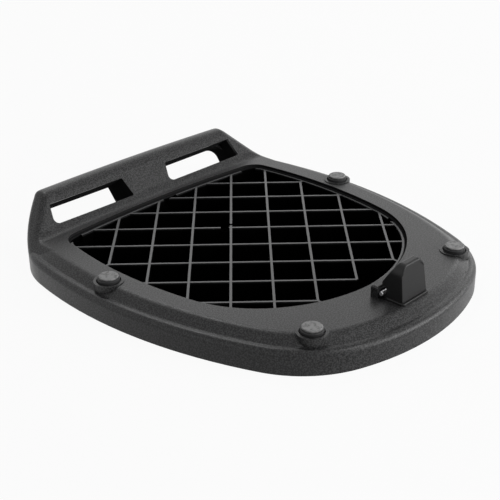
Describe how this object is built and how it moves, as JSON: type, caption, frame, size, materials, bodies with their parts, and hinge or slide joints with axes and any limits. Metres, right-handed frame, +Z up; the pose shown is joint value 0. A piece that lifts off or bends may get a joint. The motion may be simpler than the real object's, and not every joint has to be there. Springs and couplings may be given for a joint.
{
  "type": "top case mounting plate",
  "caption": "Moulded motorcycle top case mounting plate with a lattice pan, a raised slotted front bar, rubber buffers, a latch tower and a steel striker pin.",
  "frame": {"origin": "middle of the plate's length and width, on the ground it rests on", "axes": "+Y towards the raised front bar, +Z up, +X to the right seen from above with the bar at the top"},
  "size_m": [0.238, 0.268, 0.0427],
  "materials": {
    "grained_plastic": "fine-grained black moulded plastic",
    "tower_plastic": "smooth satin black moulded plastic",
    "screw_steel": "zinc-plated screw steel",
    "pin_steel": "bright drawn steel",
    "buffer_rubber": "dull dark grey rubber"
  },
  "bodies": {
    "root": {"base_plate": "grained_plastic", "latch_tower": "tower_plastic", "tower_screws": "screw_steel", "striker_pin": "pin_steel", "buffer_front_left": "buffer_rubber", "buffer_front_right": "buffer_rubber", "buffer_rear_left": "buffer_rubber", "buffer_rear_right": "buffer_rubber"}
  },
  "joints": []
}
